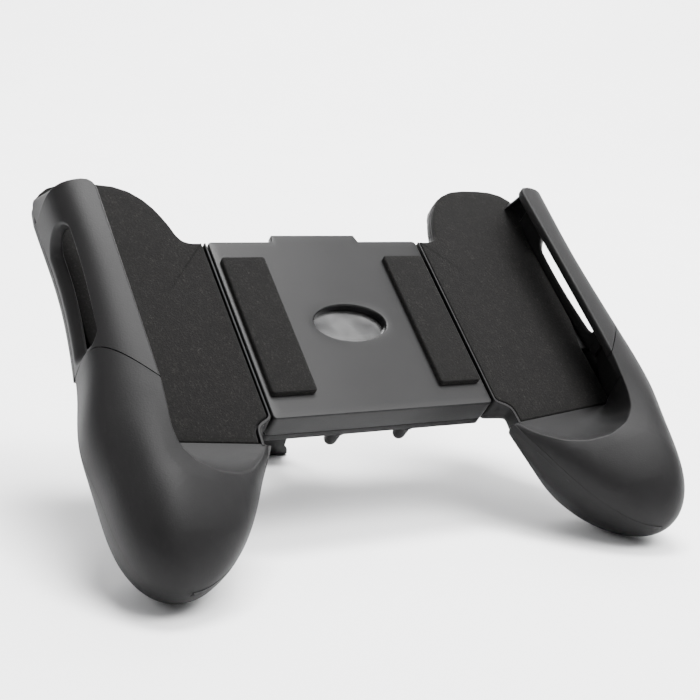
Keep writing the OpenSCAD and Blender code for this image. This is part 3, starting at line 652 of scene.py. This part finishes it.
lip_z = float(top_at(LIP_IN, SEAM_Y))
RIM = np.array([(LIP_IN, SEAM_Y, lip_z), (31.75, -28.5, lip_z - 0.4), (31.85, -32, lip_z - 1.1), (31.9, -36.5, 13.0),
                (31.1, -40.6, 12.2), (28.3, -44.2, 11.2), (22.8, -46.6, 9.5), (17.0, -46.2, 7.0), (12.3, -43.9, 4.5),
                (8.7, -40.6, 2.4), (6.1, -37.5, 0.9), (4.7, -35.2, 0.15)])
rim_line = resampled(eased(resampled(RIM, 500), 26), 260)


def perimeter(n):
    """Start of each line on the parting plane: down the outer side, round the tip, and up the inner side."""
    u = np.linspace(0, 1, n)
    down, up = np.clip(u / 0.45, 0, 1), np.clip((1 - u) / 0.4, 0, 1)
    y = np.where(u < 0.5, foot_y + (TIP_Y - foot_y) * np.sin(down * np.pi / 2) ** 1.25,
                 PARTING_END + (TIP_Y - PARTING_END) * np.sin(up * np.pi / 2) ** 1.25)
    return y, 1 - 2 * np.clip((u - 0.45) / 0.15, 0, 1)


def cover_grid(gap):
    """Lines from the parting plane to the rim in y and the share across, lifted to the shoulder and on to the rim."""
    n = len(rim_line)
    t = np.linspace(0, 1, CHAIN)
    y0, v0 = (v[:, None] for v in perimeter(n))
    y1 = rim_line[:, 1:2]
    v1 = share_of(rim_line[:, :1], y1)
    y = y0 + (y1 - y0) * t ** 1.8
    v = v0 + (v1 - v0) * t ** 3.2
    seam = arm_point(seam_line(t), t, 0.0)
    fade = np.clip(1 - np.linspace(0, 1, n) / 0.3, 0, 1)[:, None] ** 2
    y, v = y + fade * (seam[:, 1] - y[0]), v + fade * (share_of(seam[:, 0], seam[:, 1]) - v[0])
    y = np.maximum(y - gap * fade, TIP_Y)
    middle, half, _, _ = envelope(y)
    x = middle + half * v
    z = shoulder(x, y)
    z = z + (rim_line[:, 2:] - z[:, -1:]) * t ** 3
    z[:, 0] = DECK_TOP
    foot = np.stack([middle[:, :1] + half[:, :1] * v[:, :1] * 1.001, y[:, :1], z[:, :1] - 0.15], -1)
    return np.concatenate([foot, np.stack([x, y, z], -1)], 1)


skin = cover_grid(0.15)
print("cover skin", skin.shape, "rim from", skin[0, -1].round(2), "to", skin[-1, -1].round(2))

# %% [markdown]
# ### Over the rim
# From each point of the rim the surface goes on inwards. Along the lip that means the lip's edge, its underside and
# the wall below it. Round the scoop it is the bowl, which falls from the rim to the level of the foam and ends at the
# tray's near edge, with its outer end under the lip. Both come down to the deck, so the section is closed and its two
# ends get caps.

# %% Inner side of the cover
def inner_grid(skin):
    """For each rim point, one chain to the bay's edge and down to the deck, under the lip or over the bowl."""
    rim = skin[:, -1]
    x, y = rim[:, 0], rim[:, 1]
    first = int(np.argmin(y > bay_edge(x)))
    k = np.linspace(0, 1, CHAIN - DROP)[1:]
    down = np.linspace(0, 1, DROP + 1)[1:]
    lip = rim[:first + 1]
    edge, under = np.clip(k / 0.3, 0, 1)[None], np.clip((k - 0.3) / 0.7, 0, 1)[None]
    lx = lip[:, :1] + (BAY_OUT - lip[:, :1]) * under
    lz = lip[:, 2:] + (np.minimum(BAY_TOP, lip[:, 2:] - 1.0) - lip[:, 2:]) * edge
    lip_rows = np.stack([lx, np.broadcast_to(lip[:, 1:2], lx.shape), lz], -1)
    bowl = rim[first:]
    share = np.linspace(0, 1, len(bowl))
    tx = BOWL_OUT + (bowl[-1, 0] - BOWL_OUT) * share
    target = np.stack([tx, bay_edge(tx)], -1)
    plan = bowl[:, None, :2] + (target - bowl[:, :2])[:, None] * (k ** 1.3)[None, :, None]
    bz = bowl[:, None, 2] * (1 - k ** 1.3) ** 2.2
    rows = np.concatenate([lip_rows, np.concatenate([plan, bz[..., None]], -1)])
    last = rows[:, -1:]
    floor = np.concatenate([np.broadcast_to(last[..., :2], (len(rows), DROP, 2)),
                            (last[..., 2:] + (DECK_TOP - last[..., 2:]) * down[None, :, None])], -1)
    return np.concatenate([rows, floor], 1), first


def rolled_over(outer, inner, on_lip):
    """The two chains joined by a small curve at the rim: wider along the lip, crisp round the scoop."""
    corner = outer[:, -1:]
    r = (0.45 + 0.3 * on_lip)[:, None, None]
    towards = lambda p: corner + (p - corner) * np.minimum(1, r / np.maximum(
        np.linalg.norm(p - corner, axis=-1, keepdims=True), 1e-6))
    start, end, t = towards(outer[:, -5:-4]), towards(inner[:, 4:5]), np.linspace(0, 1, 7)[None, :, None]
    return np.concatenate([outer[:, :-4], (1 - t) ** 2 * start + 2 * t * (1 - t) * corner + t ** 2 * end,
                           inner[:, 4:]], 1)


inner, first = inner_grid(skin)
outer = np.concatenate([skin[:first + 1], skin[first:]])
fall_off = smooth((first - np.arange(len(outer))) / 24)
cover = rolled_over(outer, inner, fall_off)
half_way = (cover.shape[1] + 1) // 2
caps = [np.stack([row[:half_way], row[::-1][:half_way]]) for row in (cover[0], cover[-1])]
for side, hand in ((-1, "left"), (1, "right")):
    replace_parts(piece(hand + "_grip_cover", [(cover, False, True)] + [(cap, False, False) for cap in caps],
                      hand + "_handle", grip_plastic, side, core=(34, -52, 4)), hand + "_grip_front")

# %% [markdown]
# ## The rear shell
# Below the parting plane the handle is a rounded belly that fills out into the grip. It is drawn in rows across the
# handle: each row starts at the inner side's wall, rounds its lower edge, follows the belly and ends on the outer
# side. Beside the plate the belly is flat, because the slide runs there.

# %% Rear shell
NECK_END, BLOCK_OUT, SLIMMER = 26.5, 22, 0.12
FAR_ROWS, NECK_ROWS = 44, 62
FOOT_R, FAR_R = 1.6, 5.0
# The inner side at the neck's near corner: distance down from the plate's middle, and x.
NECK_DOWN, NECK_X = [27.2, 27.9, 29.5, 30.3, 31.6, 34], [0.62, 0.9, 3.4, 4.3, 4.65, 4.85]


def belly_low(x, y):
    """The lower of the round underside, slimmer on its inner side, and the neck's block with its sloping ends."""
    middle, half, _, fall = envelope(y)
    u = np.clip(np.abs(x - middle) / np.maximum(half, 1e-6), 0, 1)
    slim = SLIMMER * (x < middle) * smooth((y + 66) / 14) * 6.75 * u ** 4 * (1 - u ** 2)
    loft = DECK_TOP - fall * np.sqrt(1 - u ** 2) * (1 - slim)
    block = BACK + np.maximum(np.abs(y) - NECK_END, 0) * 1.3 + np.maximum(x - BLOCK_OUT, 0) * 0.4
    return 0.5 * (loft + block - np.sqrt((loft - block) ** 2 + 0.6))


def shell_rows():
    """Rows from the far end to the tip; the inner edge steps in at the neck."""
    top = int(np.argmax(far_edge[:, 1]))
    start = far_edge[top, 1] - 0.03
    far_y = start + (PLATE_Y + 0.02 - start) * np.linspace(0, 1, FAR_ROWS) ** 1.8
    far_in = np.interp(far_y, far_edge[:top + 1, 1], far_edge[:top + 1, 0])
    far_out = np.interp(-far_y, -far_edge[top:, 1], far_edge[top:, 0])
    flat_y = np.linspace(27.9, -27.0, NECK_ROWS)
    tail_y = TIP_Y + 23.4 * (1 - np.sin(np.linspace(0, np.pi / 2, 44)))
    grip_y = np.concatenate([np.linspace(-27.2, -46, 70), tail_y])
    y = np.concatenate([far_y, flat_y, grip_y])
    middle, half, _, _ = envelope(grip_y)
    neck = np.interp(-grip_y, NECK_DOWN, NECK_X)
    grip_in = neck + (middle - half - neck) * smooth((-33.8 - grip_y) / 1.2)
    x_in = np.concatenate([far_in, np.full(NECK_ROWS, SLIT), grip_in])
    middle, half, _, _ = envelope(y)
    x_out = np.minimum(middle + half, np.concatenate([far_out, np.full(len(y) - FAR_ROWS, BEYOND)]))
    return y, x_in, x_out


def shell_grid():
    """Wall of the inner side, its rounded foot, the underside, and up to the outer side."""
    y, x_in, x_out = (v[:, None] for v in shell_rows())
    t = np.linspace(0, 1, 90)[None]
    x = x_in + (x_out - x_in) * (0.5 - 0.5 * np.cos(np.pi * t))
    low = belly_low(x, y)
    top_in = np.where(y > -23.8, DECK_LOW - 0.02, DECK_TOP - 0.01)
    top_out = np.where(y > foot_y - 0.3, DECK_LOW - 0.02, DECK_TOP - 0.01)
    lift = lambda d, k: k * (1 - np.sqrt(1 - np.clip(1 - d / k, 0, 1) ** 2))
    round_out = FOOT_R + 3.4 * np.clip((y - 12) / 18, 0, 1)
    low = (low + lift(x - x_in, FOOT_R) + lift(x_out - x, round_out) * smooth((y + 14) / 12)
           + lift(FAR_Y - y, FAR_R) * (y > 20))
    top = top_in + (top_out - top_in) * t
    low = np.minimum(low, top)
    climb = np.linspace(0, 1, 6)[None, :-1]
    wall_z = top_in + (low[:, :1] - top_in) * climb
    wall = np.stack([np.broadcast_to(x_in, wall_z.shape), np.broadcast_to(y, wall_z.shape), wall_z], -1)
    far_z = low[:, -1:] + (top_out - low[:, -1:]) * np.linspace(0, 1, 5)[None, 1:]
    outside = np.stack([np.broadcast_to(x_out, far_z.shape), np.broadcast_to(y, far_z.shape), far_z], -1)
    under = np.stack([x, np.broadcast_to(y, x.shape), low], -1)
    rows = np.concatenate([wall, under, outside], 1)
    end = rows[:1].copy()
    end[..., 2] = top_in[0]
    return np.concatenate([end, rows])


shell = shell_grid()
for side, hand in ((-1, "left"), (1, "right")):
    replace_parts(piece(hand + "_back_shell", [(shell, False, False)], hand + "_handle", cover_plastic,
                      side, wall=1.4, core=(25, -10, -2)), hand + "_rear_shell")

# %% [markdown]
# ### Raised rim along the slit
# Along the slit the rear shell comes up in a narrow rim, which hooks round the foam at the neck's near corner and
# runs into the grip. It is a profile carried between two lines: one beside the foam, the other on the shell's side.

# %% Neck rim
def neck_rim():
    """Cross-sections between the two lines: up the outside, over a rounded top, down the inside."""
    n, foot = 320, -3.0
    inside = np.array([(1.15, 27.3), (1.15, -26.8), (1.5, -27.4), (3.9, -28.7), (5.0, -29.8), (5.4, -31.4),
                       (5.6, -34.8)])
    outside = np.array([(0.62, 27.3), (0.62, -27.2), (0.9, -27.9), (3.4, -29.5), (4.3, -30.3), (4.65, -31.6),
                        (4.8, -35.2)])
    lines = eased(resampled(np.concatenate([inside, outside], 1), n), 4)
    a, b = lines[:, None, :2], lines[:, None, 2:]
    bend = np.linspace(0, np.pi, 15)[None, :, None]
    share = 0.5 - 0.5 * np.sign(np.cos(bend)) * np.abs(np.cos(bend)) ** 0.35
    crown = np.broadcast_to(-0.5 + 0.7 * np.abs(np.sin(bend)) ** 0.35, (n, 15, 1))
    over = np.concatenate([b + (a - b) * share, crown], -1)
    low_a, low_b = (np.concatenate([v, np.full((n, 1, 1), foot)], -1) for v in (a, b))
    return ended(np.concatenate([low_b, over, low_a], 1))


rim = neck_rim()
for side, hand in ((-1, "left"), (1, "right")):
    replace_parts(piece(hand + "_neck_rim", [(rim, False, True)], hand + "_handle", cover_plastic,
                      side, core=(0.9, 0, -1.5)), hand + "_rear_shell")

# %% [markdown]
# ## Centre plate
# The plate is a skin with a tab on its far edge and an oval window over the foil. It is again a ring, round the
# window this time, so both the outer edge and the window's edge are rounded. Two walls hang from it.

# %% Centre plate
PLATE_R, PLATE_LOW, WALL_FROM, PARTING_Z = 1.2, -2.0, 26.0, -6.8
TAB, TAB_D, TAB_R = 12.7, 2.3, 0.5
WINDOW_W, WINDOW_D = 10.4, 5.9


def plate_line():
    """Outline of the plate with its tab, counter-clockwise."""
    x, y, r, tab_x, tab_y = EDGE - PLATE_R, PLATE_Y - PLATE_R, PLATE_R, TAB - TAB_R, PLATE_Y + TAB_D - TAB_R
    return dense(arc(x, -y, r, -90, 0, 8) + arc(x, y, r, 0, 90, 8)
                 + [(TAB + TAB_R, PLATE_Y)] + arc(tab_x, tab_y, TAB_R, 0, 90, 5)
                 + arc(-tab_x, tab_y, TAB_R, 90, 180, 5) + [(-TAB - TAB_R, PLATE_Y)]
                 + arc(-x, y, r, 90, 180, 8) + arc(-x, -y, r, 180, 270, 8), 0.4)


def plate_ring():
    """Top face from the window to the edge, round it, back underneath and up through the window."""
    line = plate_line()
    turn = np.arctan2(line[:, 1], line[:, 0])
    hole = lambda by: np.stack([(WINDOW_W + by) * np.cos(turn), (WINDOW_D + by) * np.sin(turn)], -1)
    q = np.linspace(0, np.pi / 2, 6)
    rings = []
    add = lambda flat, z: rings.append(np.concatenate([flat, np.full((len(line), 1), z)], 1))
    r, rw = 0.42, 0.5
    for a in q:
        add(hole(rw * (1 - math.cos(a))), -rw * (1 - math.sin(a)))
    for t in np.linspace(0, 1, 12)[1:-1]:
        add(hole(rw) * (1 - t) + inset_line(line, r) * t, 0.0)
    for a in q[::-1]:
        add(inset_line(line, r * (1 - math.cos(a))), -r * (1 - math.sin(a)))
    for t in (1.0, 0.66, 0.33, 0.0):
        add(hole(0) * (1 - t) + line * t, PLATE_LOW)
    return np.stack(rings)


def wall_slab(s):
    """One of the walls under the near (s = -1) or far (s = 1) edge of the plate."""
    corner = arc(EDGE - PLATE_R, PLATE_Y - PLATE_R, PLATE_R, 0, 90, 6)
    right = np.array([(EDGE, WALL_FROM), (EDGE, PLATE_Y - PLATE_R)] + corner) * (1, s)
    line = np.concatenate([right, right[::-1] * (-1, 1)])
    return slab(dense(line, 0.8), PARTING_Z, PLATE_LOW, 0.12, 0.0, (0, (WALL_FROM + PLATE_Y) / 2 * s))


plate_grids = [(plate_ring(), True, True), (wall_slab(-1), False, True), (wall_slab(1), False, True)]
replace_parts(piece("centre_plate", plate_grids, "centre", plate_plastic), "front_plate")

# %% [markdown]
# ## Rear cover, lugs and pegs
# The cover closes the centre body from below; its parting line shows on the near wall. Two lugs carry the stand's pin
# and two pegs hang near the near edge. A peg is a profile spun round its axis; a lug is an outline carried along x.

# %% Rear cover
def spun(profile, x, y, n=32):
    """A profile of (radius, height) spun round an upright axis at x, y."""
    turn = np.linspace(0, 2 * np.pi, n, endpoint=False)
    rad, z = np.asarray(profile, float).T
    return np.stack([x + rad[:, None] * np.cos(turn), y + rad[:, None] * np.sin(turn),
                     np.broadcast_to(z[:, None], (len(z), n))], -1)


def lug(x):
    """Outline of a lug, round below and square above, carried across its thickness with rounded ends."""
    y, z, r, half = 22.0, -12.7, 2.5, 1.8
    a = np.radians(np.linspace(180, 360, 20))
    line = np.concatenate([np.stack([r * np.cos(a), r * np.sin(a)], -1), [(r, 3.4), (-r, 3.4)]])
    shrink, across = [0.0, 0.86, 0.95, 1.0, 1.0, 0.95, 0.86, 0.0], [-1, -1, -0.95, -0.85, 0.85, 0.95, 1, 1]
    rows = [np.stack([np.full(len(line), x + half * c), y + line[:, 0] * s, z + line[:, 1] * s], -1)
            for s, c in zip(shrink, across)]
    return np.stack(rows)


PAIR_X = 10.1
peg = [(0, -15.2), (0.7, -15.1), (1.25, -14.75), (1.55, -14.2), (1.7, -13.4), (1.8, -11), (1.85, -9.9), (2.3, -9.3)]
cover_line = dense(rounded_box(2 * EDGE, 2 * PLATE_Y, PLATE_R), 0.5)
cover_grids = [(slab(cover_line, BACK, PARTING_Z - 0.15, 0.5, 0.12, (0, 0)), False, True)]
cover_grids += [(spun(peg, s * PAIR_X, -25.8), False, True) for s in (-1, 1)]
cover_grids += [(lug(s * PAIR_X), False, True) for s in (-1, 1)]
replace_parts(piece("centre_rear_cover", cover_grids, "centre", cover_plastic), "rear_cover")

# %% [markdown]
# ## Foam strips
# Two strips of the same foam keep the phone off the plate. Their cut edges are square with a slightly crushed corner.

# %% Foam strips
for side, hand in ((-1, "left"), (1, "right")):
    x = side * (EDGE - 1.4 - STRIP_W / 2)
    strip = slab(dense(rounded_box(STRIP_W, STRIP_D, STRIP_R, x, 0)), 0.0, STRIP_H, 0.1, 0.4, (x, 0), 0.05)
    obj = piece(hand + "_strip_foam", [(strip, False, True)], "centre", foam)
    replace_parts(obj, hand + "_strip_pad")

# %% [markdown]
# ## Pieces that keep their solid
# The stand, tongues, pin, screws, springs and badge are already the right shape. They keep their CAD solids and get
# a finish. The stand and the tongues also get a small Bevel, so that their edges catch the light. A CAD mesh is loose
# triangles, so a Weld comes first.

# %% Carried-over solids
def soften(node, width):
    """Weld the loose triangles, then round edges sharper than 35 degrees."""
    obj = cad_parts[node]
    weld = obj.modifiers.new("weld", "WELD")
    weld.merge_threshold = SLIVER
    bevel = obj.modifiers.new("edges", "BEVEL")
    bevel.width, bevel.segments, bevel.angle_limit = width / 1000, 3, math.radians(35)
    bevel.harden_normals = False


carried = {"stand": stand_plastic, "stand_pin": steel, "oval_badge": foil, "cover_screws": steel}
for hand in ("left", "right"):
    carried.update({hand + "_slide_tongue": tongue_plastic, hand + "_tongue_screws": steel,
                    hand + "_shell_screws": steel, hand + "_return_spring": steel})
for node, finish in carried.items():
    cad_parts[node].data.materials.clear()
    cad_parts[node].data.materials.append(finish)
for node in ("stand", "left_slide_tongue", "right_slide_tongue"):
    soften(node, 0.35)
print("carried over", sorted(carried))

# %% [markdown]
# ## Floor and light
# The picture was taken on a seamless pale sweep under soft boxes. The sweep is one profile, flat and then curving up,
# carried sideways. Large lamps above, in front and at both sides make the broad highlights. Two more light the sweep,
# and the pale room fills the shadows.

# %% Sweep and lamps
paper = Finish("pale_paper", Roughness=0.9)
paper_tone = paper.tint(paper.noise(9, 2), (0.3, (0.87, 0.87, 0.872)), (0.7, (0.89, 0.89, 0.892)))
paper_finish = paper.use(Base_Color=paper_tone)
bend = np.linspace(0, np.pi / 2, 24)
depth = np.concatenate([[-3.0, 0.0], 1.2 + 1.0 * np.sin(bend), [2.2]])
height = np.concatenate([[0.0, 0.0], 1.0 - np.cos(bend), [3.5]])
away = np.array([0.51, 0.86])
sideways = np.linspace(-4, 4, 9)[:, None]
sweep = np.stack([depth * away[0] + sideways * away[1], depth * away[1] - sideways * away[0],
                  np.broadcast_to(height, (9, len(height)))], -1)
floor_mesh = bpy.data.meshes.new("paper_sweep")
floor_mesh.from_pydata(sweep.reshape(-1, 3), [], grid_faces(*sweep.shape[:2], False, False))
floor_mesh.shade_smooth()
floor_mesh.materials.append(paper_finish)
floor = bpy.data.objects.new("paper_sweep", floor_mesh)
bpy.context.scene.collection.objects.link(floor)


def soft_box(name, at, aim, size, power):
    """A square lamp at a point, facing another."""
    lamp = bpy.data.lights.new(name, "AREA")
    lamp.size, lamp.energy = size, power
    obj = bpy.data.objects.new(name, lamp)
    back = np.array(at, float) - np.array(aim, float)
    back /= np.linalg.norm(back)
    across = np.cross((0, 0, 1), back)
    across /= np.linalg.norm(across)
    up = np.cross(back, across)
    obj.matrix_world = Matrix([(across[i], up[i], back[i], at[i]) for i in range(3)] + [(0, 0, 0, 1)])
    bpy.context.scene.collection.objects.link(obj)


soft_box("top_box", (0.3, 0.0, 1.4), (0, 0, 0.04), 1.0, 6.5)
soft_box("front_box", (0.22, -0.5, 1.05), (0, -0.05, 0.04), 0.7, 14)
soft_box("right_box", (0.85, -0.4, 0.95), (-0.03, -0.03, 0.04), 0.6, 9)
soft_box("left_box", (-1.1, 0.05, 0.75), (-0.06, 0, 0.04), 0.6, 4)
soft_box("wall_box", (0.3, 0.5, 2.6), (1.15, 1.95, 0.9), 1.2, 290)
soft_box("floor_box", (0.9, -1.4, 3.2), (0.0, 0.0, 0.0), 1.6, 105)
room = bpy.data.worlds.new("pale_room")
room.use_nodes = True
room.node_tree.nodes["Background"].inputs["Color"].default_value = (0.95, 0.96, 1.0, 1)
room.node_tree.nodes["Background"].inputs["Strength"].default_value = 0.25
bpy.context.scene.world = room
print("sweep and lamps placed")
